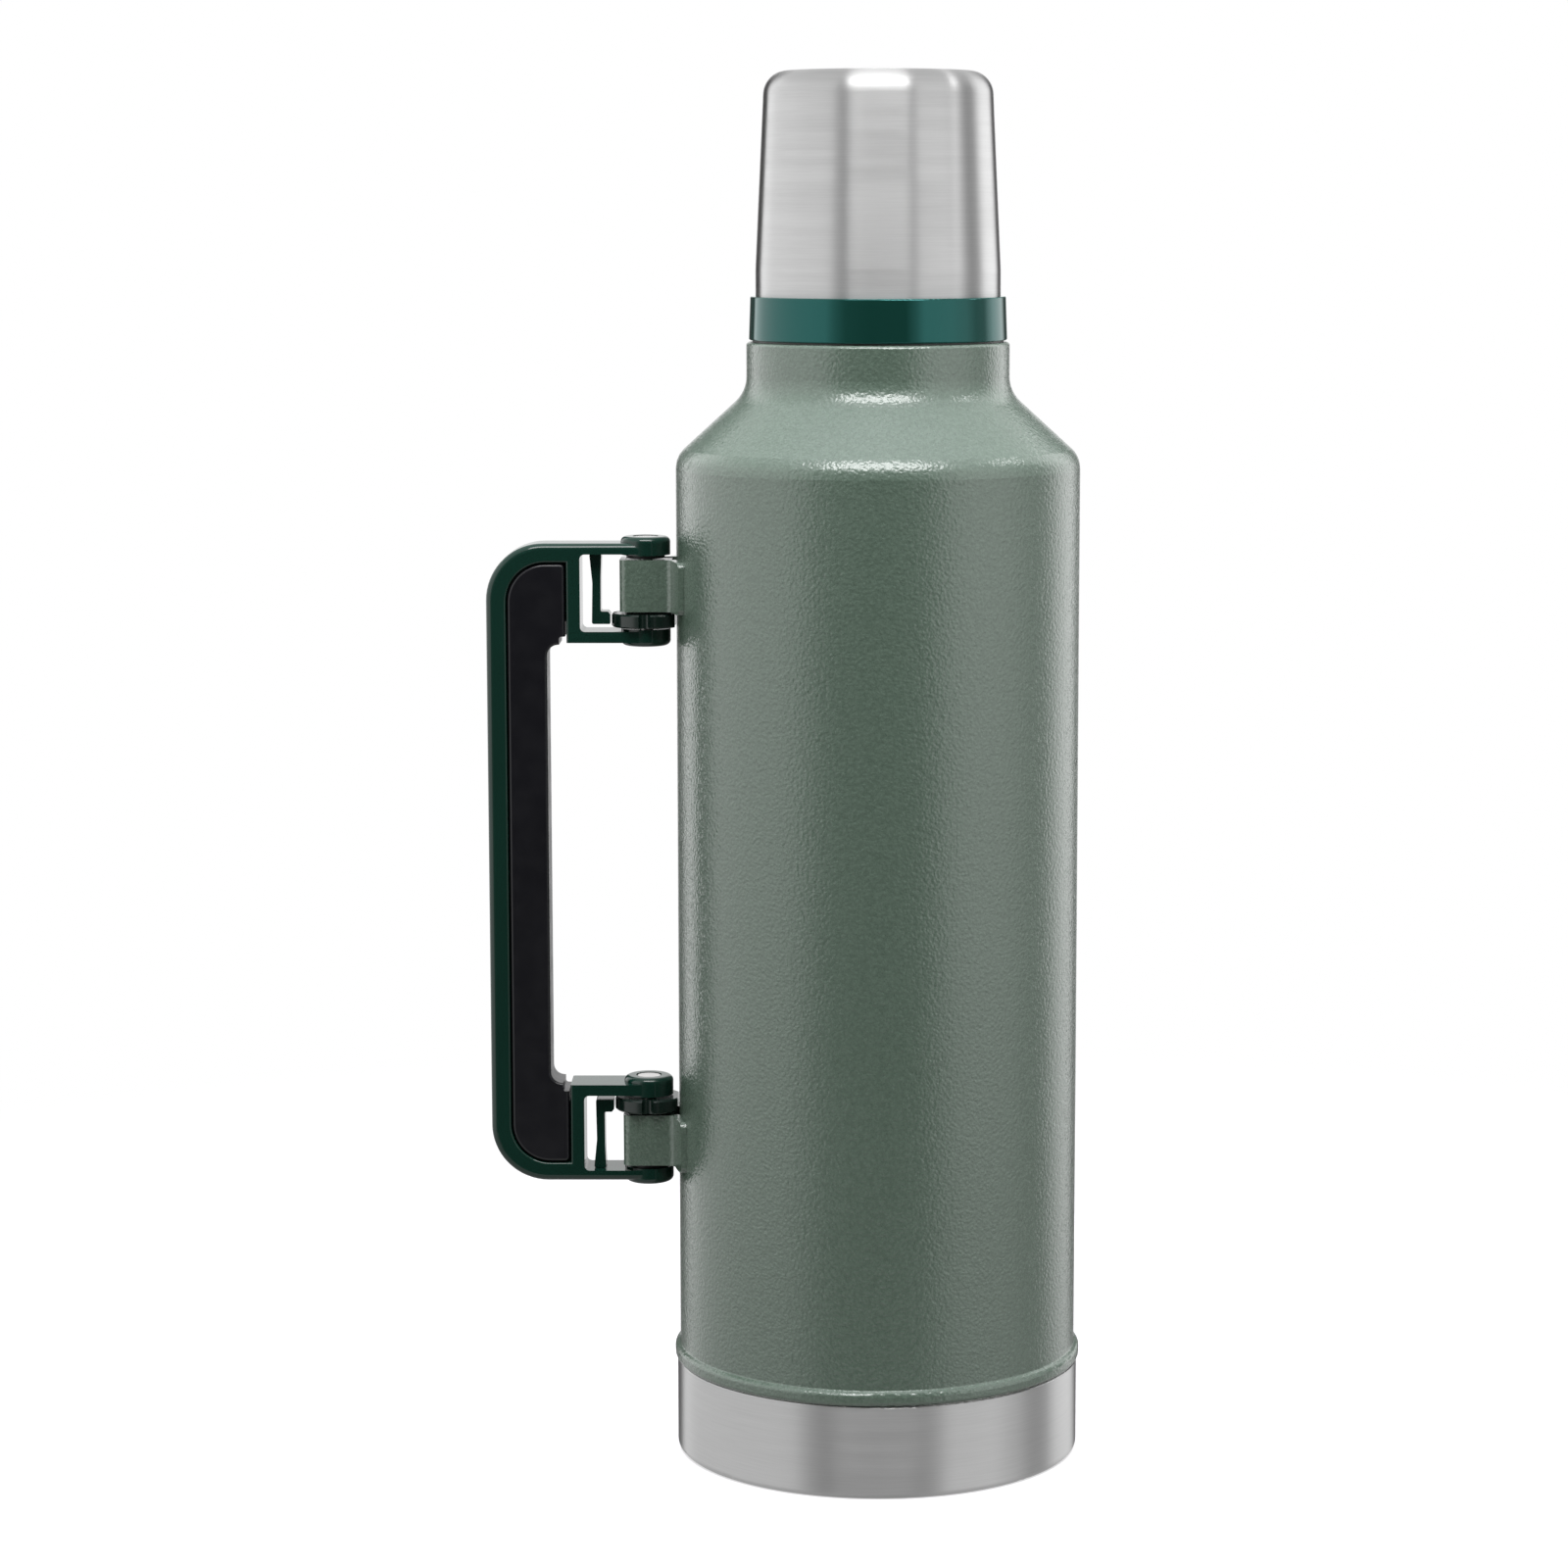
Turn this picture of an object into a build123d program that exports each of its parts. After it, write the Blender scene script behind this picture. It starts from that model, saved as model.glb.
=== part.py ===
from build123d import *
import math
import os

os.makedirs("parts", exist_ok=True)

# A 1.9 litre double-wall vacuum flask with a folding side handle, a screw-on drinking cup and a
# screw stopper. Millimetres. Z is up, the axis of the flask is Z, the flask stands on z = 0 and the
# handle points to -X.

# Body
BODY_R = 54.5
WALL = 0.6
BEAD_R = 55.85
BEAD_Z = (25.5, 29.6)
NECK_R = 35.4
LEDGE_Z = 304.3
RIM_Z = 322.0
SHOULDER_LOW_Z = 273.58
SHOULDER_SLOPE = 1.095
BASE_R = 55.2
BASE_TOP = 25.3
SKIRT_R = BASE_R - WALL

# Liner
LINER_R = 49.5
LINER_WALL = 0.5
LINER_FLOOR = 16.0
LINER_NECK_R = 26.2

# Screw threads: two starts, right-handed, one lead of 8 mm
LEAD = 8.0
STARTS = (20, 200)
RIDGE_WIDE = 1.3
RIDGE_NARROW = 0.5
NECK_CORE_R = 28.6
NECK_CREST_R = 29.6

# Cup
CUP_TOP = 376.0
CUP_BORE = 29.9
CUP_FOOT = 304.8
RING_TOP = 316.4
SHELL_R_LOW = 32.9
SHELL_R_TOP = 30.45
SLEEVE_TOP = 320.5

# Stopper
PLUG_R = 23.8
PLUG_LOW = 295.0
FLANGE_R = 28.0
FLANGE_Z = (323.0, 327.0)
KNOB_TOP = 340.5

# Handle, about its own mid-height
HINGE_X = -62.8
MID_Z = 162.8
HANDLE_TOP = 250.4
HANDLE_OUT = -105.7
HALF_DEPTH = 6.5
SIDE_BAND = 5.4
TOP_BAND = 5.1
BAND_ROUND = 1.7
ARM_UNDER = 247.5
LOW_ARM_Z = (223.6, 226.6)
POST_X = (-84.0, -80.3)
PAD_GAP = 0.4
PAD_RIGHT = -84.45
PAD_FOOT = 223.2
WEB_FOOT = 229.0
GRIP_X = -89.3
WEB_HALF = 1.5
KNUCKLE_R = 6.7
KNUCKLE_ROUND = 1.5
BOSS_Z = (222.45, 252.05)
FACE_Z = (227.1, 247.1)
LOWER_BOSS_DROP = 148.35
PIN_R = 2.0
PIN_HEAD_R = 3.3
PIN_HEAD = 1.0
PIN_SINK = 0.15

# Hinge parts fixed to the body
STRAP_Z = (232.0, 246.0)
STRAP_X = -69.6
STRAP_HALF = 7.0
SHEET = 1.5
FLANGE_HALF = 16.8
DISC_Z = (227.6, 231.3)
DISC_R = 9.3
TOE_X = -72.3
HUB_BORE_R = 2.08


def turned(*corners):
    """Revolve a closed outline of (radius, height, corner radius) about the flask's axis."""
    points = [Vector(r, 0, z) for r, z, _ in corners]
    outline = FilletPolyline(*points, radius=[c for _, _, c in corners], close=True)
    return revolve(make_face(outline), Axis.Z)


def ridges(root, crest, start, height):
    """The two ridges of a screw thread, from a root radius inside the wall to the crest."""
    outline = Polyline(
        (root, 0, start - RIDGE_WIDE),
        (crest, 0, start - RIDGE_NARROW),
        (crest, 0, start + RIDGE_NARROW),
        (root, 0, start + RIDGE_WIDE),
        close=True,
    )
    path = Helix(LEAD, height, (root + crest) / 2, center=(0, 0, start))
    ridge = sweep(make_face(outline), path=path, is_frenet=True, clean=False)
    return [Rot(0, 0, angle) * ridge for angle in STARTS]


def slab(outline, low, high):
    """A flat outline drawn in XY, standing from one height to another."""
    return Pos(0, 0, low) * extrude(outline, high - low)


def upright(outline, half):
    """An outline drawn as (x, z), extruded to both sides of the plane y = 0."""
    return extrude(Plane.XZ * outline, half, both=True)


def rod(x, y, low, high, radius):
    return Pos(x, y, (low + high) / 2) * Cylinder(radius, high - low)


def box(x0, x1, y0, y1, z0, z1):
    middle = Pos((x0 + x1) / 2, (y0 + y1) / 2, (z0 + z1) / 2)
    return middle * Box(x1 - x0, y1 - y0, z1 - z0)


def rectangle(x0, x1, z0, z1):
    return Pos((x0 + x1) / 2, (z0 + z1) / 2) * Rectangle(x1 - x0, z1 - z0)


def rounded(x0, x1, z0, z1, radius):
    middle = Pos((x0 + x1) / 2, (z0 + z1) / 2)
    return middle * RectangleRounded(x1 - x0, z1 - z0, radius)


def flip(shape):
    """The same piece mirrored about the handle's mid-height, for the lower hinge."""
    return mirror(shape, Plane.XY.offset(MID_Z))


def down(z):
    """A height mirrored about the handle's mid-height."""
    return 2 * MID_Z - z


def save(name, shape):
    solids = shape.solids()
    whole = solids[0] if len(solids) == 1 else Compound(solids)
    export_step(whole, f"parts/{name}.step")


# The steel body ------------------------------------------------------------------------------


def shoulder_z(r, inset):
    """Height of the conical shoulder at a radius, set in by a wall thickness."""
    drop = inset * math.hypot(1, SHOULDER_SLOPE) / SHOULDER_SLOPE
    return SHOULDER_LOW_Z - drop + (BODY_R - r) / SHOULDER_SLOPE


def make_outer_shell():
    """Skirt, rolled bead, body, shoulder, neck, ledge and threaded mouth, all one drawn wall."""
    inner_r = BODY_R - WALL
    inner_neck = NECK_R - WALL
    shell = turned(
        (SKIRT_R, 4.0, 0),
        (SKIRT_R, BEAD_Z[0], 0),
        (BEAD_R, BEAD_Z[0], 1.1),
        (BEAD_R, 28.7, 1.3),
        (BODY_R, BEAD_Z[1], 0.5),
        (BODY_R, shoulder_z(BODY_R, 0), 7.0),
        (NECK_R, shoulder_z(NECK_R, 0), 9.0),
        (NECK_R, LEDGE_Z, 1.0),
        (NECK_CORE_R, LEDGE_Z, 0.6),
        (NECK_CORE_R, RIM_Z - LINER_WALL, 0),
        (NECK_CORE_R - WALL, RIM_Z - LINER_WALL, 0),
        (NECK_CORE_R - WALL, LEDGE_Z - WALL, 0.6),
        (inner_neck, LEDGE_Z - WALL, 0.3),
        (inner_neck, shoulder_z(inner_neck, WALL), 9.0 + WALL),
        (inner_r, shoulder_z(inner_r, WALL), 7.0 - WALL),
        (inner_r, BEAD_Z[1] - 0.3, 1.0),
        (BEAD_R - WALL, 28.4, 0.7),
        (BEAD_R - WALL, BEAD_Z[0] + WALL, 0.7),
        (SKIRT_R - WALL, BEAD_Z[0] + WALL, 0.2),
        (SKIRT_R - WALL, 4.0, 0),
    )
    return shell + ridges(NECK_CORE_R - 0.4, NECK_CREST_R, 308.2, 9.0)


def make_inner_liner():
    """The inner bottle, with its thread for the stopper and a lip rolled over the mouth."""
    inner = LINER_R - LINER_WALL
    bore = LINER_NECK_R - LINER_WALL
    liner = turned(
        (0, LINER_FLOOR, 0),
        (LINER_R - 8.0, LINER_FLOOR, 4.0),
        (LINER_R, LINER_FLOOR + 7.0, 9.0),
        (LINER_R, 264.0, 14.0),
        (LINER_NECK_R, 286.0, 6.0),
        (LINER_NECK_R, RIM_Z - LINER_WALL, 0),
        (NECK_CORE_R, RIM_Z - LINER_WALL, 0),
        (NECK_CORE_R, RIM_Z, 0.25),
        (bore, RIM_Z, 0.5),
        (bore, 285.9, 6.6),
        (inner, 263.8, 13.4),
        (inner, LINER_FLOOR + 7.3, 8.4),
        (LINER_R - 8.3, LINER_FLOOR + LINER_WALL, 4.0),
        (0, LINER_FLOOR + LINER_WALL, 0),
    )
    return liner + ridges(bore + 0.3, bore - 1.0, 306.5, 9.0)


def make_outer_bottom():
    """The dished plate that closes the vacuum, with the small evacuation hole in its dimple."""
    plate = turned(
        (0, 6.6, 0),
        (6.5, 6.6, 0.6),
        (7.5, 5.0, 0.8),
        (47.5, 5.0, 3.0),
        (SKIRT_R - WALL, 12.0, 2.5),
        (SKIRT_R - WALL, 16.0, 0),
        (SKIRT_R - 2 * WALL, 16.0, 0),
        (SKIRT_R - 2 * WALL, 12.3, 2.0),
        (47.0, 5.8, 3.0),
        (8.2, 5.8, 0.8),
        (7.2, 7.4, 0.6),
        (0, 7.4, 0),
    )
    return plate - rod(0, 0, 6.0, 8.0, 1.2)


def make_base_cup():
    """The steel cup over the foot of the flask, flat in the middle, with a stiffening groove."""
    return turned(
        (0, 0, 0),
        (30.0, 0, 0.6),
        (31.6, 1.6, 0.6),
        (40.4, 1.6, 0.6),
        (42.0, 0, 0.6),
        (BASE_R, 0, 1.7),
        (BASE_R, BASE_TOP, 0.3),
        (SKIRT_R, BASE_TOP, 0),
        (SKIRT_R, WALL, 0.9),
        (42.3, WALL, 0.6),
        (40.7, 1.6 + WALL, 0.6),
        (31.3, 1.6 + WALL, 0.6),
        (29.7, WALL, 0.6),
        (0, WALL, 0),
    )


# The cup -------------------------------------------------------------------------------------


def shell_radius(z, inset):
    """Outer radius of the tapered cup at a height, set in by a wall thickness."""
    share = (z - 323.5) / (CUP_TOP - 323.5)
    return SHELL_R_LOW - share * (SHELL_R_LOW - SHELL_R_TOP) - inset


def make_cup_shell():
    wall = 0.6
    top = CUP_TOP - wall
    return turned(
        (0, CUP_TOP, 0),
        (shell_radius(CUP_TOP, 0), CUP_TOP, 6.3),
        (SHELL_R_LOW, 323.5, 20.0),
        (SHELL_R_LOW, 311.0, 0),
        (SHELL_R_LOW - wall, 311.0, 0),
        (SHELL_R_LOW - wall, 323.5, 20.0),
        (shell_radius(top, wall), top, 5.7),
        (0, top, 0),
    )


def make_cup_liner():
    """The inner steel wall of the cup, flared at its mouth to meet the outer wall."""
    wall = 0.5
    return turned(
        (0, 373.0, 0),
        (28.6, 373.0, 6.0),
        (30.8, 322.0, 0.8),
        (SHELL_R_LOW - 0.6, 321.0, 0),
        (SHELL_R_LOW - 0.6, SLEEVE_TOP, 0),
        (30.3, SLEEVE_TOP, 0.4),
        (28.1, 372.5, 5.5),
        (0, 372.5, 0),
    )


def make_cup_collar():
    """The plastic ring of the cup: its thread, and a groove that holds the edge of the shell."""
    inner = SHELL_R_LOW - 0.6
    collar = turned(
        (CUP_BORE, CUP_FOOT, 0.4),
        (34.75, CUP_FOOT, 0.4),
        (34.35, RING_TOP, 0.35),
        (SHELL_R_LOW, RING_TOP, 0),
        (SHELL_R_LOW, 311.0, 0),
        (inner, 311.0, 0),
        (inner, SLEEVE_TOP, 0),
        (CUP_BORE, SLEEVE_TOP, 0.3),
    )
    return collar + ridges(CUP_BORE + 0.4, CUP_BORE - 1.0, 306.2, 8.4)


def make_cup_gasket():
    return turned((30.2, LEDGE_Z, 0), (33.7, LEDGE_Z, 0), (33.7, CUP_FOOT, 0), (30.2, CUP_FOOT, 0))


# The stopper ---------------------------------------------------------------------------------


def make_stopper_body():
    """The hollow plug with its thread and flange."""
    inner = PLUG_R - 2.0
    plug = turned(
        (0, PLUG_LOW, 0),
        (22.4, PLUG_LOW, 1.0),
        (22.4, 299.0, 0),
        (PLUG_R, 299.0, 0.3),
        (PLUG_R, FLANGE_Z[0], 0),
        (FLANGE_R, FLANGE_Z[0], 0.4),
        (FLANGE_R, FLANGE_Z[1], 0.8),
        (inner, FLANGE_Z[1], 0),
        (inner, 300.0, 0),
        (20.4, 300.0, 0),
        (20.4, PLUG_LOW + 2.0, 0.5),
        (0, PLUG_LOW + 2.0, 0),
    )
    return plug + ridges(PLUG_R - 0.5, 25.2, 308.5, 8.0)


def make_stopper_knob():
    """The knob: a fluted ring with a spigot that closes the plug."""
    spigot = PLUG_R - 2.0
    knob = turned(
        (19.0, 322.0, 0),
        (spigot, 322.0, 0.4),
        (spigot, FLANGE_Z[1], 0),
        (25.6, FLANGE_Z[1], 0.5),
        (25.0, 330.0, 1.5),
        (22.6, 331.5, 1.5),
        (22.2, KNOB_TOP, 2.2),
        (13.0, KNOB_TOP, 1.0),
        (12.0, KNOB_TOP - 1.2, 1.0),
        (0, KNOB_TOP - 1.2, 0),
        (0, KNOB_TOP - 3.6, 0),
        (19.0, KNOB_TOP - 3.6, 1.5),
    )
    flute = rod(23.2, 0, 332.5, KNOB_TOP + 1.0, 1.7)
    flutes = [Rot(0, 0, 15 * n) * flute for n in range(24)]
    return knob - flutes


def make_stopper_core():
    """The foam block inside the plug."""
    return turned(
        (0, PLUG_LOW + 2.0, 0),
        (20.4, PLUG_LOW + 2.0, 0.5),
        (20.4, 300.0, 0),
        (PLUG_R - 2.0, 300.0, 0),
        (PLUG_R - 2.0, 322.0, 0),
        (0, 322.0, 0),
    )


def make_stopper_rim_gasket():
    return turned((PLUG_R, RIM_Z, 0.3), (27.6, RIM_Z, 0.3), (27.6, 323.0, 0.3), (PLUG_R, 323.0, 0.3))


def make_stopper_lower_seal():
    """The lip ring that sits in the step at the foot of the plug."""
    return turned(
        (22.4, 296.2, 0),
        (24.0, 296.2, 0.5),
        (24.4, 297.6, 0.3),
        (24.0, 299.0, 0.3),
        (22.4, 299.0, 0),
    )


# The handle ----------------------------------------------------------------------------------


def both_ways(outline):
    """An (x, z) outline with its mirror image about the handle's mid-height."""
    return outline + mirror(outline, Plane.XZ.offset(-MID_Z))


def knuckles(face, boss):
    """One hinge's two round knuckles: the faces towards the strap and the outer ends."""
    high = fillet(rod(HINGE_X, 0, face[1], boss[1], KNUCKLE_R).edges().group_by(Axis.Z)[-1], KNUCKLE_ROUND)
    low = fillet(rod(HINGE_X, 0, boss[0], face[0], KNUCKLE_R).edges().group_by(Axis.Z)[0], KNUCKLE_ROUND)
    return high + low


def rivet_cut(boss):
    """The hole through both knuckles, with a recess for each head of the rivet."""
    recess = PIN_HEAD_R + 0.2
    depth = PIN_SINK + PIN_HEAD
    hole = rod(HINGE_X, 0, boss[0] - 1, boss[1] + 1, PIN_R)
    high = rod(HINGE_X, 0, boss[1] - depth, boss[1] + 1, recess)
    low = rod(HINGE_X, 0, boss[0] - 1, boss[0] + depth, recess)
    return hole + high + low


def drop(shape):
    """The lower hinge's copy of a piece that sits the same way up in both hinges."""
    return Pos(0, 0, -LOWER_BOSS_DROP) * shape


def within(edge, left, right, top):
    """Whether an edge stays between two x positions and between a height and its mirror image."""
    span = edge.bounding_box()
    return span.min.X > left - 0.1 and span.max.X < right + 0.1 and down(top) - 0.1 < span.min.Z < top + 0.1


def make_handle_frame():
    """The outer band, both arms, posts and knuckles, with a web that carries the rubber grip."""
    rim = HALF_DEPTH - 0.1
    band = upright(rounded(HANDLE_OUT, HINGE_X + 40, down(HANDLE_TOP), HANDLE_TOP, 15.5), HALF_DEPTH)
    band = fillet(band.edges().filter_by(lambda e: abs(e.center().Y) > rim), BAND_ROUND)
    band -= upright(rectangle(HINGE_X, HINGE_X + 41, down(HANDLE_TOP) - 1, HANDLE_TOP + 1), HALF_DEPTH + 1)
    inside = HANDLE_OUT + SIDE_BAND
    pocket_top = HANDLE_TOP - TOP_BAND
    pocket = rounded(inside, inside + 60, down(pocket_top), pocket_top, 10.7)
    pocket &= rectangle(inside, POST_X[0], down(pocket_top), pocket_top)
    window = rounded(POST_X[1], POST_X[1] + 30, LOW_ARM_Z[1], ARM_UNDER, 1.3)
    middle = rectangle(POST_X[0], 0, down(LOW_ARM_Z[0]), LOW_ARM_Z[0])
    band -= upright(pocket + both_ways(window) + middle, HALF_DEPTH + 1)
    mouth = [e for e in band.edges() if abs(e.center().Y) > rim and within(e, inside, POST_X[0], pocket_top)]
    band = fillet(mouth, 0.6)
    web = pocket - rectangle(GRIP_X - 3.2, POST_X[0], down(WEB_FOOT), WEB_FOOT)
    frame = band + upright(web, WEB_HALF)
    lower_face = (down(FACE_Z[1]), down(FACE_Z[0]))
    lower_boss = (BOSS_Z[0] - LOWER_BOSS_DROP, BOSS_Z[1] - LOWER_BOSS_DROP)
    frame += knuckles(FACE_Z, BOSS_Z)
    frame += knuckles(lower_face, lower_boss)
    return frame - rivet_cut(BOSS_Z) - rivet_cut(lower_boss)


def make_grip_pad():
    """The rubber grip, moulded round the web of the frame, notched where it nears the arms."""
    left = HANDLE_OUT + SIDE_BAND + PAD_GAP
    top = HANDLE_TOP - TOP_BAND - PAD_GAP
    half = make_face(
        FilletPolyline(
            (left, MID_Z),
            (left, top),
            (PAD_RIGHT, top),
            (PAD_RIGHT, PAD_FOOT),
            (GRIP_X, PAD_FOOT - 0.4),
            (GRIP_X, MID_Z),
            radius=[0, 10.3, 1.2, 0, 3.0, 0],
            close=True,
        )
    )
    pad = upright(both_ways(half), HALF_DEPTH)
    pad = fillet(pad.faces().filter_by(Axis.Y).edges(), 0.8)
    notch = rounded(PAD_RIGHT - 1.6, PAD_RIGHT + 2, PAD_FOOT - 4, PAD_FOOT + 2.1, 0.7)
    pad -= upright(both_ways(notch), HALF_DEPTH + 1)
    web = upright(rectangle(left - 1, GRIP_X - 3.2, 0, 400), WEB_HALF)
    web += upright(rectangle(left - 1, POST_X[0], WEB_FOOT, 400), WEB_HALF)
    web += upright(rectangle(left - 1, POST_X[0], 0, down(WEB_FOOT)), WEB_HALF)
    return pad - web


def make_pin():
    """The hinge rivet, headed at both ends inside the knuckles."""
    low_end = BOSS_Z[0] + PIN_SINK
    high_end = BOSS_Z[1] - PIN_SINK
    pin = rod(HINGE_X, 0, low_end, high_end, PIN_R)
    high = rod(HINGE_X, 0, high_end - PIN_HEAD, high_end, PIN_HEAD_R)
    high = fillet(high.edges().group_by(Axis.Z)[-1], 0.3)
    low = rod(HINGE_X, 0, low_end, low_end + PIN_HEAD, PIN_HEAD_R)
    low = fillet(low.edges().group_by(Axis.Z)[0], 0.3)
    return pin + high + low


def make_washer():
    return rod(HINGE_X, 0, 246.2, 247.1, 5.2) - rod(HINGE_X, 0, 246.0, 247.2, PIN_R)


def make_latch():
    """The springy finger under the arm, with the toe that reaches for the detent disc."""
    side = make_face(
        FilletPolyline(
            (-77.9, ARM_UNDER - 0.1),
            (-77.1, 239.5),
            (-77.3, 228.4),
            (TOE_X, 228.4),
            (TOE_X, 231.0),
            (TOE_X - 0.6, 231.8),
            (-74.9, 231.8),
            (-74.85, 241.0),
            (-74.6, ARM_UNDER - 0.1),
            radius=[0.5, 6.0, 0.5, 0.3, 0.2, 0.3, 0.4, 6.0, 0.5],
            close=True,
        )
    )
    return upright(side, 3.0)


# The hinge parts on the body -----------------------------------------------------------------


def make_bracket():
    """The steel strap bent round the hinge hub, with two flanges that lie on the body."""
    strap = Pos(STRAP_X + 15, 0) * Rectangle(30, 2 * STRAP_HALF)
    strap = fillet(strap.vertices().group_by(Axis.X)[0], 2.0)
    bore = Pos(STRAP_X + SHEET + 15, 0) * Rectangle(30, 2 * (STRAP_HALF - SHEET))
    bore = fillet(bore.vertices().group_by(Axis.X)[0], 0.6)
    saddle = Circle(BODY_R + SHEET) & (Pos(-50, 0) * Rectangle(40, 2 * FLANGE_HALF + 6))
    outline = strap + saddle - bore - Circle(BODY_R)
    bend = [v for v in outline.vertices() if abs(abs(v.Y) - STRAP_HALF) < 0.01 and v.X > -60]
    outline = fillet(bend, 2.0)
    bracket = slab(outline, STRAP_Z[0] - 3, STRAP_Z[1] + 3)
    height = STRAP_Z[1] - STRAP_Z[0]
    trim = Pos(0, STRAP_Z[0] + height / 2) * RectangleRounded(2 * FLANGE_HALF, height, 1.8)
    return bracket & extrude(Plane.YZ * trim, -80)


def make_detent():
    """The notched plastic disc and the hub block that fills the strap, bored for the pin."""
    disc = rod(HINGE_X, 0, *DISC_Z, DISC_R)
    disc = chamfer(disc.edges().filter_by(GeomType.CIRCLE), 0.4)
    for angle in (90, 180, 270):
        notch = Rot(0, 0, angle) * rod(DISC_R, 0, DISC_Z[0] - 1, DISC_Z[1] + 1, 1.6)
        disc -= Pos(HINGE_X, 0, 0) * notch
    half = STRAP_HALF - SHEET
    hub = box(STRAP_X + SHEET, -55.6, -half, half, DISC_Z[1], 245.8)
    hub = fillet(hub.edges().filter_by(Axis.Z).group_by(Axis.X)[0], 0.6)
    detent = disc + hub
    detent -= rod(0, 0, 220.0, 250.0, BODY_R + 0.5)
    return detent - rod(HINGE_X, 0, 225.0, 247.0, HUB_BORE_R)


getter = box(15.0, 27.0, -4.0, 4.0, 5.8, 7.4)
vacuum_seal = rod(0, 0, 5.2, 6.6, 5.6)
handle_frame = make_handle_frame()
pin = make_pin()
washer = make_washer()
latch = make_latch()
bracket = make_bracket()
detent = make_detent()

save("outer_shell", make_outer_shell())
save("inner_liner", make_inner_liner())
save("outer_bottom", make_outer_bottom())
save("getter", getter)
save("vacuum_seal", vacuum_seal)
save("base_cup", make_base_cup())
save("cup_shell", make_cup_shell())
save("cup_liner", make_cup_liner())
save("cup_collar", make_cup_collar())
save("cup_gasket", make_cup_gasket())
save("stopper_body", make_stopper_body())
save("stopper_knob", make_stopper_knob())
save("stopper_core", make_stopper_core())
save("stopper_rim_gasket", make_stopper_rim_gasket())
save("stopper_lower_seal", make_stopper_lower_seal())
save("handle_frame", handle_frame)
save("grip_pad", make_grip_pad())
save("upper_pin", pin)
save("lower_pin", drop(pin))
for name, piece in (("washer", washer), ("latch", latch), ("bracket", bracket), ("detent", detent)):
    save(f"upper_{name}", piece)
    save(f"lower_{name}", flip(piece))
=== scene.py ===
import math

import bpy
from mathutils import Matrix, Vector


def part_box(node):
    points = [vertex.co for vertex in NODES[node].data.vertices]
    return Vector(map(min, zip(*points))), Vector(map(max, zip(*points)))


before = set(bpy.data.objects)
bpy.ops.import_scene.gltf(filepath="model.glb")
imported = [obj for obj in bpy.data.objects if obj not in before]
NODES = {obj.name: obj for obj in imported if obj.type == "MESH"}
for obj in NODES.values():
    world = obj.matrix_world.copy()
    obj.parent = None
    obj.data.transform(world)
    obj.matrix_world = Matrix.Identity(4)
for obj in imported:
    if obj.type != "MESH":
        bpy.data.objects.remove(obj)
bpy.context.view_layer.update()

# Places read from the frame, in metres: the outer wall's paint lies between these two heights.
NECK_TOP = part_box("cup_gasket")[0].z
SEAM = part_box("base_cup")[1].z

# How far above those two heights the paint's edges lie.
PAINT_LAP = 0.0001

# Colours, the depth of the paint's orange peel in metres, and the roughness of the brushed steel.
PAINT_LIGHT = (0.090, 0.131, 0.099)
PAINT_DARK = (0.080, 0.119, 0.088)
PAINT_VALLEY = (0.042, 0.068, 0.048)
PAINT_RIPPLE = 0.00012
BARE_STEEL = (0.60, 0.59, 0.57)
SHELL_STEEL = (0.55, 0.55, 0.55)
SHELL_ROUGHNESS = 0.34

# Light tent, in metres, and the brightness of each part of the studio.
TENT_R = 1.05
TENT_Z = (-0.75, 0.95)
TENT_PANELS = 180
CEILING_GLOW = 0.9
PAPER_GLOW = 0.62
FLOOR_GLOW = 0.45
LOW_SHARE = 0.66

# Brightness of the light tent's wall by azimuth, in degrees from the front and growing to the right.
TENT = (
    (-180, 1.0), (-168, 1.0), (-165, 0.08), (-146, 0.08), (-141, 1.7), (-131, 1.4), (-122, 1.25),
    (-96, 1.3), (-60, 1.28), (-47, 1.2), (-39, 0.6), (-29, 0.16), (-8, 0.05), (24, 0.05),
    (33, 0.6), (41, 1.28), (66, 1.3), (84, 1.0), (96, 0.45), (108, 0.45), (114, 1.1),
    (122, 1.6), (142, 1.65), (152, 0.1), (163, 0.1), (168, 1.0), (180, 1.0),
)

# Lamps face a point on the flask's axis from this far away. The floor reaches this far each way.
LAMP_AIM = Vector((0, 0, 0.19))
LAMP_DISTANCE = 1.0
FLOOR_HALF = 30.0

CAMERA_PLACE = (-0.00845, -1.1322, 0.3418)
CAMERA_TILT = 82.082
CAMERA_LENS = 96.31
CAMERA_SHIFT = -0.0399


# Node helpers ---------------------------------------------------------------------------------


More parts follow.
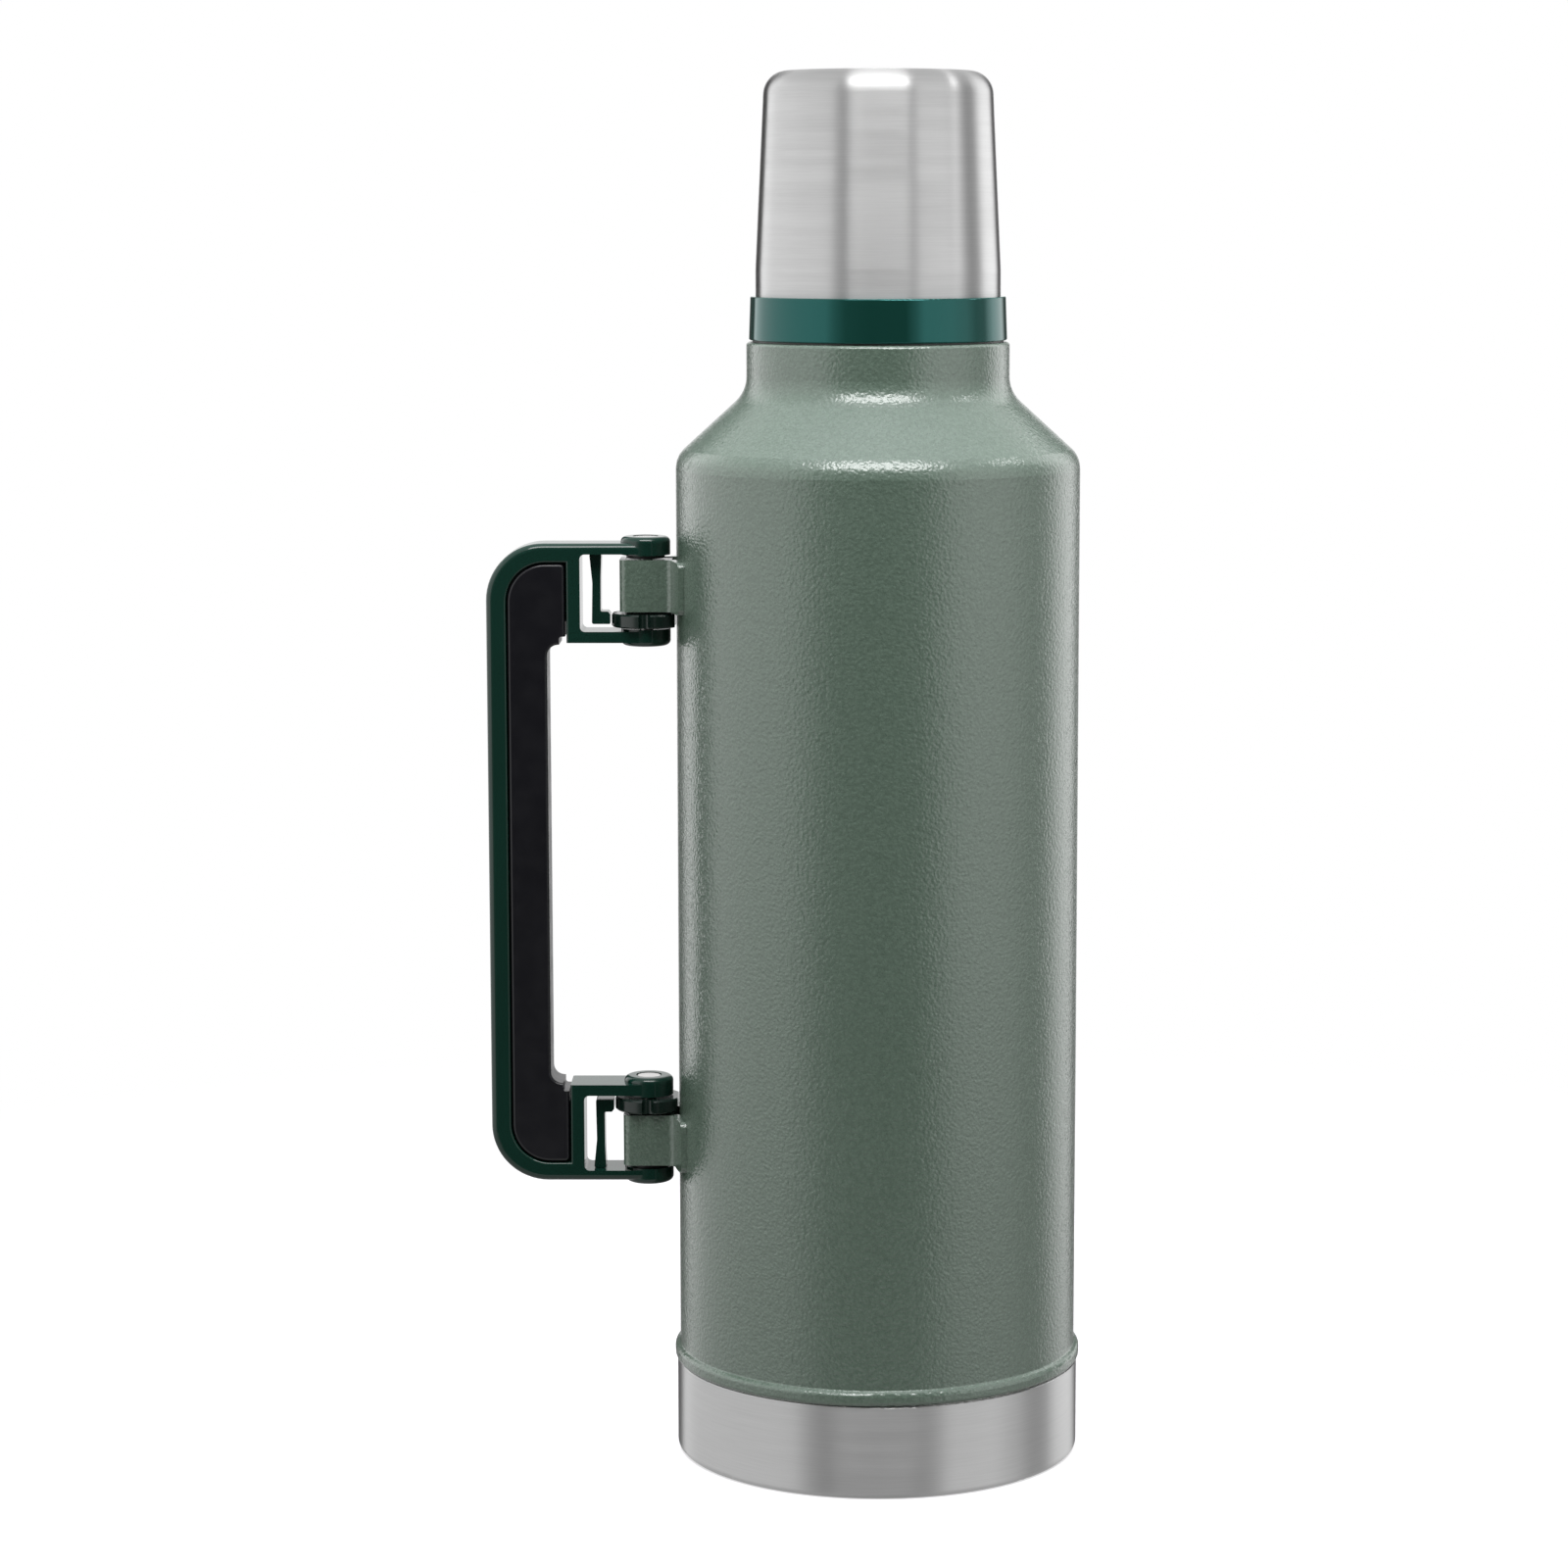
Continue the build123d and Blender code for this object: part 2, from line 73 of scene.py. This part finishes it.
class Shader:
    """A material's node tree, with a Principled shader already joined to its output."""

    def __init__(self, name):
        self.material = bpy.data.materials.new(name)
        self.material.use_nodes = True
        self.tree = self.material.node_tree
        self.surface = self.tree.nodes["Principled BSDF"]
        self.place = self.add("ShaderNodeTexCoord").outputs["Object"]

    def add(self, kind, **settings):
        node = self.tree.nodes.new(kind)
        for key, value in settings.items():
            setattr(node, key, value)
        return node

    def set(self, **values):
        """Plain numbers and colours go straight onto the shader's own sockets."""
        for key, value in values.items():
            self.surface.inputs[key.replace("_", " ")].default_value = value
        return self

    def link(self, source, target):
        self.tree.links.new(source, target)

    def stretched(self, x, y, z):
        """Object coordinates scaled along each axis, so a texture can run one way."""
        mapping = self.add("ShaderNodeMapping")
        mapping.inputs["Scale"].default_value = (x, y, z)
        self.link(self.place, mapping.inputs["Vector"])
        return mapping.outputs["Vector"]

    def noise(self, scale, detail=2.0, roughness=0.5, vector=None):
        node = self.add("ShaderNodeTexNoise")
        node.inputs["Scale"].default_value = scale
        node.inputs["Detail"].default_value = detail
        node.inputs["Roughness"].default_value = roughness
        self.link(vector or self.place, node.inputs["Vector"])
        return node.outputs["Fac"]

    def pebbles(self, scale, smoothness):
        """Soft round cells, dark in their middles."""
        node = self.add("ShaderNodeTexVoronoi", feature="SMOOTH_F1")
        node.inputs["Scale"].default_value = scale
        node.inputs["Smoothness"].default_value = smoothness
        self.link(self.place, node.inputs["Vector"])
        return node.outputs["Distance"]

    def maths(self, operation, a, b):
        """Two numbers or sockets joined by one operation."""
        node = self.add("ShaderNodeMath", operation=operation)
        for socket, value in zip(node.inputs, (a, b)):
            if isinstance(value, (int, float)):
                socket.default_value = value
            else:
                self.link(value, socket)
        return node.outputs["Value"]

    def remap(self, value, low, high, to_low, to_high, kind="SMOOTHSTEP"):
        """A value carried from one range to another."""
        node = self.add("ShaderNodeMapRange", interpolation_type=kind)
        node.inputs["From Min"].default_value = low
        node.inputs["From Max"].default_value = high
        node.inputs["To Min"].default_value = to_low
        node.inputs["To Max"].default_value = to_high
        self.link(value, node.inputs["Value"])
        return node.outputs["Result"]

    def mix(self, factor, a, b):
        """A colour mixed from two colours or sockets."""
        node = self.add("ShaderNodeMix", data_type="RGBA")
        self.link(factor, node.inputs["Factor"])
        for socket, value in ((node.inputs[6], a), (node.inputs[7], b)):
            if isinstance(value, tuple):
                socket.default_value = (*value, 1.0)
            else:
                self.link(value, socket)
        return node.outputs[2]

    def bump(self, height, distance, strength):
        node = self.add("ShaderNodeBump")
        node.inputs["Distance"].default_value = distance
        node.inputs["Strength"].default_value = strength
        self.link(height, node.inputs["Height"])
        return node.outputs["Normal"]

    def colour(self, socket):
        self.link(socket, self.surface.inputs["Base Color"])

    def rough(self, socket):
        self.link(socket, self.surface.inputs["Roughness"])

    def normal(self, socket):
        self.link(socket, self.surface.inputs["Normal"])

    def split_place(self):
        """The object coordinates as three separate outputs: X, Y and Z."""
        node = self.add("ShaderNodeSeparateXYZ")
        self.link(self.place, node.inputs["Vector"])
        return node.outputs

    def glow(self, strength=1.0):
        """A plain emitter, which stands beside the Principled shader."""
        node = self.add("ShaderNodeEmission")
        node.inputs["Strength"].default_value = strength
        return node

    def finish_with(self, shader):
        """Show another shader in place of the Principled one."""
        self.link(shader.outputs[0], self.tree.nodes["Material Output"].inputs["Surface"])


# Materials ------------------------------------------------------------------------------------


def hammertone(name, bare_below=None, bare_above=None):
    """Sage-green hammertone paint: a fine speckle under a hard gloss that ripples like orange peel.

    Below and above the two heights, where they are given, the sheet is bare steel.
    """
    s = Shader(name)
    s.set(IOR=1.6, Coat_Weight=0.7, Coat_Roughness=0.08)
    ripple = s.noise(1280.0, 1.0, 0.4)
    pebble = s.pebbles(1100.0, 0.9)
    fleck = s.noise(2600.0, 2.0, 0.6)
    broad = s.noise(22.0, 3.0)
    height = s.maths("ADD", ripple, s.maths("MULTIPLY", pebble, -0.6))
    light = s.mix(broad, PAINT_DARK, PAINT_LIGHT)
    grain = s.maths("ADD", s.maths("MULTIPLY", pebble, 0.6), s.maths("MULTIPLY", fleck, 0.4))
    paint = s.mix(s.remap(grain, 0.3, 0.6, 0.0, 0.40), light, PAINT_VALLEY)
    normal = s.bump(height, PAINT_RIPPLE, 1.0)
    s.normal(normal)
    s.link(normal, s.surface.inputs["Coat Normal"])
    s.rough(s.remap(fleck, 0.3, 0.7, 0.26, 0.34))
    if bare_below is None:
        s.colour(paint)
        return s.material
    z = s.split_place()["Z"]
    below = s.maths("LESS_THAN", z, bare_below)
    above = s.maths("GREATER_THAN", z, bare_above)
    bare = s.maths("MAXIMUM", below, above)
    s.colour(s.mix(bare, paint, BARE_STEEL))
    s.link(bare, s.surface.inputs["Metallic"])
    return s.material


def brushed_steel(name):
    """Stainless steel brushed round the flask's axis: hair-fine rings that spread reflections up and down."""
    s = Shader(name)
    s.set(Metallic=1.0, Anisotropic=1.0, Anisotropic_Rotation=0.25)
    tangent = s.add("ShaderNodeTangent", direction_type="RADIAL", axis="Z")
    s.link(tangent.outputs["Tangent"], s.surface.inputs["Tangent"])
    hair = s.noise(1.0, 3.0, 0.6, s.stretched(60.0, 60.0, 3200.0))
    band = s.noise(1.0, 2.0, 0.5, s.stretched(6.0, 6.0, 240.0))
    cloud = s.noise(38.0, 2.0)
    dark = tuple(v * 0.94 for v in SHELL_STEEL)
    s.colour(s.mix(s.remap(hair, 0.3, 0.7, 0.0, 1.0), dark, SHELL_STEEL))
    banded = s.remap(band, 0.3, 0.7, SHELL_ROUGHNESS - 0.02, SHELL_ROUGHNESS + 0.02)
    s.rough(s.maths("ADD", banded, s.remap(cloud, 0.3, 0.7, 0.0, 0.02)))
    s.normal(s.bump(hair, 0.0000025, 0.5))
    return s.material


def satin_steel(name, tone=0.60):
    """Drawn steel: the inner walls, the closing plate and, brighter, the rivets."""
    s = Shader(name)
    s.set(Metallic=1.0)
    ring = s.noise(1.0, 3.0, 0.6, s.stretched(25.0, 25.0, 1500.0))
    s.colour(s.mix(ring, (0.82 * tone, 0.81 * tone, 0.80 * tone), (1.02 * tone, 1.01 * tone, tone)))
    s.rough(s.remap(ring, 0.3, 0.7, 0.22, 0.34))
    s.normal(s.bump(ring, 0.00001, 0.5))
    return s.material


def moulded(name, base, roughness, grain=2400.0, depth=0.00002, shift=0.15, **settings):
    """Plastic, rubber and the small dull pieces: a fine even grain, faint clouds and uneven gloss."""
    s = Shader(name)
    s.set(**settings)
    cloud = s.noise(45.0, 3.0)
    skin = s.noise(grain, 3.0, 0.6)
    light = tuple(v * (1 + shift) for v in base)
    dark = tuple(v * (1 - shift) for v in base)
    s.colour(s.mix(cloud, dark, light))
    s.rough(s.remap(s.noise(160.0, 3.0), 0.3, 0.7, roughness * 0.9, roughness * 1.12))
    s.normal(s.bump(skin, depth, 0.7))
    return s.material


def paint_nodes():
    """Give every CAD node its material."""
    shell = hammertone("hammertone_shell", SEAM + PAINT_LAP, NECK_TOP + PAINT_LAP)
    paint = hammertone("hammertone_paint")
    steel = brushed_steel("brushed_shell")
    satin = satin_steel("liner_steel")
    looks = {
        "outer_shell": shell,
        "upper_bracket": paint,
        "lower_bracket": paint,
        "base_cup": steel,
        "cup_shell": steel,
        "inner_liner": satin,
        "outer_bottom": satin,
        "cup_liner": satin,
        "cup_collar": moulded("collar_plastic", (0.004, 0.027, 0.020), 0.05, 900.0, 0.000002, 0.05,
                              IOR=1.7, Specular_Tint=(0.25, 0.92, 0.90, 1.0)),
        "handle_frame": moulded("handle_plastic", (0.0035, 0.021, 0.014), 0.09, 2600.0, 0.0000015),
        "grip_pad": moulded("grip_rubber", (0.003, 0.003, 0.0045), 0.32, 3200.0, 0.000008),
        "upper_detent": moulded("detent_plastic", (0.004, 0.011, 0.008), 0.18, 2400.0, 0.000006),
        "upper_pin": satin_steel("rivet_steel", 0.80),
        "upper_washer": moulded("washer_plastic", (0.01, 0.01, 0.01), 0.5),
        "stopper_body": moulded("stopper_plastic", (0.008, 0.055, 0.042), 0.42),
        "stopper_core": moulded("foam", (0.70, 0.62, 0.42), 0.9, 1500.0, 0.0003),
        "cup_gasket": moulded("silicone", (0.05, 0.055, 0.05), 0.45),
        "getter": moulded("getter_metal", (0.25, 0.25, 0.26), 0.6),
    }
    same = {
        "upper_latch": "handle_frame",
        "lower_latch": "handle_frame",
        "lower_detent": "upper_detent",
        "lower_pin": "upper_pin",
        "lower_washer": "upper_washer",
        "stopper_knob": "stopper_body",
        "stopper_rim_gasket": "cup_gasket",
        "stopper_lower_seal": "cup_gasket",
        "vacuum_seal": "getter",
    }
    for node, other in same.items():
        looks[node] = looks[other]
    for node, material in looks.items():
        NODES[node].data.materials.clear()
        NODES[node].data.materials.append(material)


# Studio ---------------------------------------------------------------------------------------


def area_light(name, azimuth, elevation, width, height, power):
    """A softbox that faces the flask. Azimuth 0 is the front and grows to the right."""
    light = bpy.data.lights.new(name, "AREA")
    light.shape = "RECTANGLE"
    light.size = width
    light.size_y = height
    light.energy = power
    item = bpy.data.objects.new(name, light)
    a, e = math.radians(azimuth), math.radians(elevation)
    away = Vector((math.sin(a) * math.cos(e), -math.cos(a) * math.cos(e), math.sin(e)))
    item.location = LAMP_AIM + away * LAMP_DISTANCE
    item.rotation_euler = away.to_track_quat("Z", "Y").to_euler()
    item.visible_camera = False
    bpy.context.scene.collection.objects.link(item)
    return item


def stage_mesh(name, points, faces, material):
    """A piece of the studio, which isn't part of the flask."""
    mesh = bpy.data.meshes.new(name)
    mesh.from_pydata(points, [], faces)
    mesh.materials.append(material)
    item = bpy.data.objects.new(name, mesh)
    bpy.context.scene.collection.objects.link(item)
    return item


def stage_square(name, half, z, material):
    corners = [(-half, -half, z), (half, -half, z), (half, half, z), (-half, half, z)]
    return stage_mesh(name, corners, [(0, 1, 2, 3)], material)


def make_floor():
    """White paper that fades into the bright backdrop; the flask itself sees a dimmer paper."""
    s = Shader("floor_paper")
    s.set(Roughness=0.85)
    s.colour(s.mix(s.noise(3.0), (0.93, 0.93, 0.93), (0.95, 0.95, 0.95)))
    length = s.add("ShaderNodeVectorMath", operation="LENGTH")
    s.link(s.place, length.inputs[0])
    far = s.remap(length.outputs["Value"], 0.10, 0.55, 0.55, 1.0)
    seen = s.add("ShaderNodeMixShader")
    s.link(far, seen.inputs[0])
    s.link(s.surface.outputs[0], seen.inputs[1])
    s.link(s.glow().outputs[0], seen.inputs[2])
    path = s.add("ShaderNodeLightPath")
    blend = s.add("ShaderNodeMixShader")
    s.link(path.outputs["Is Camera Ray"], blend.inputs[0])
    s.link(s.glow(FLOOR_GLOW).outputs[0], blend.inputs[1])
    s.link(seen.outputs[0], blend.inputs[2])
    s.finish_with(blend)
    floor = stage_square("floor", FLOOR_HALF, 0, s.material)
    floor.visible_glossy = False


def tent_cloth():
    """The tent wall's glow: the panels above, fading to the level of lit paper below the floor."""
    s = Shader("tent_cloth")
    place = s.split_place()
    forward = s.maths("MULTIPLY", place["Y"], -1.0)
    azimuth = s.maths("ARCTAN2", place["X"], forward)
    share = s.remap(azimuth, -math.pi, math.pi, 0.0, 1.0, "LINEAR")
    ramp = s.add("ShaderNodeValToRGB")
    elements = ramp.color_ramp.elements
    peak = max(level for _, level in TENT)
    while len(elements) < len(TENT):
        elements.new(0.5)
    for element, (degrees, level) in zip(elements, TENT):
        element.position = degrees / 360 + 0.5
        element.color = (level / peak, level / peak, level / peak, 1)
    s.link(share, ramp.inputs["Fac"])
    glow = s.glow()
    high = s.remap(place["Z"], -0.42, -0.20, 0.0, 1.0)
    low = PAPER_GLOW / (peak * LOW_SHARE)
    s.link(s.mix(high, (low, low, low), ramp.outputs["Color"]), glow.inputs["Color"])
    fade = s.remap(place["Z"], -0.28, 0.16, LOW_SHARE, 1.0)
    s.link(s.maths("MULTIPLY", fade, peak), glow.inputs["Strength"])
    s.finish_with(glow)
    return s.material


def make_tent():
    """A round wall of white and dark panels just outside the view, which the glossy surfaces reflect."""
    points = []
    for n in range(TENT_PANELS):
        a = 2 * math.pi * n / TENT_PANELS
        points += [(TENT_R * math.cos(a), TENT_R * math.sin(a), z) for z in TENT_Z]
    ends = len(points)
    faces = [(n, n + 1, (n + 3) % ends, (n + 2) % ends) for n in range(0, ends, 2)]
    tent = stage_mesh("tent", points, faces, tent_cloth())
    tent.visible_camera = False
    tent.visible_shadow = False


def make_pit():
    """Lit paper at the tent's foot, which the low walls reflect in place of the floor."""
    s = Shader("pit_cloth")
    s.finish_with(s.glow(PAPER_GLOW))
    pit = stage_square("pit", 2 * TENT_R, TENT_Z[0], s.material)
    pit.visible_camera = False


def make_world():
    """A white backdrop for the camera, and a slightly dimmer ceiling for everything else."""
    world = bpy.data.worlds.new("studio")
    world.use_nodes = True
    bpy.context.scene.world = world
    tree = world.node_tree
    back = tree.nodes["Background"]
    back.inputs["Color"].default_value = (1, 1, 1, 1)
    back.inputs["Strength"].default_value = CEILING_GLOW
    seen = tree.nodes.new("ShaderNodeBackground")
    seen.inputs["Color"].default_value = (1, 1, 1, 1)
    seen.inputs["Strength"].default_value = 1.0
    path = tree.nodes.new("ShaderNodeLightPath")
    mix = tree.nodes.new("ShaderNodeMixShader")
    tree.links.new(path.outputs["Is Camera Ray"], mix.inputs[0])
    tree.links.new(back.outputs[0], mix.inputs[1])
    tree.links.new(seen.outputs[0], mix.inputs[2])
    tree.links.new(mix.outputs[0], tree.nodes["World Output"].inputs["Surface"])


def make_camera():
    """A long lens at about the height of the cup's wall, looking slightly down."""
    data = bpy.data.cameras.new("camera")
    data.sensor_width = 36.0
    data.lens = CAMERA_LENS
    data.shift_x = CAMERA_SHIFT
    camera = bpy.data.objects.new("camera", data)
    camera.location = CAMERA_PLACE
    camera.rotation_euler = (math.radians(CAMERA_TILT), 0, 0)
    data.clip_start = 0.05
    data.clip_end = 60
    bpy.context.scene.collection.objects.link(camera)
    bpy.context.scene.camera = camera


def make_lamps():
    """A softbox above the front, a small one at the right, and a fill that steel doesn't reflect."""
    area_light("top_front", 0, 58, 0.78, 0.34, 7.0)
    fill = area_light("top_fill", 0, 90, 1.0, 1.0, 22.5)
    fill.visible_glossy = False
    fill.data.color = (1.06, 0.97, 1.14)
    area_light("side_kick", 95, 45, 0.14, 0.10, 0.4)


paint_nodes()
make_floor()
make_tent()
make_pit()
make_world()
make_camera()
make_lamps()
bpy.context.scene.view_settings.view_transform = "Standard"
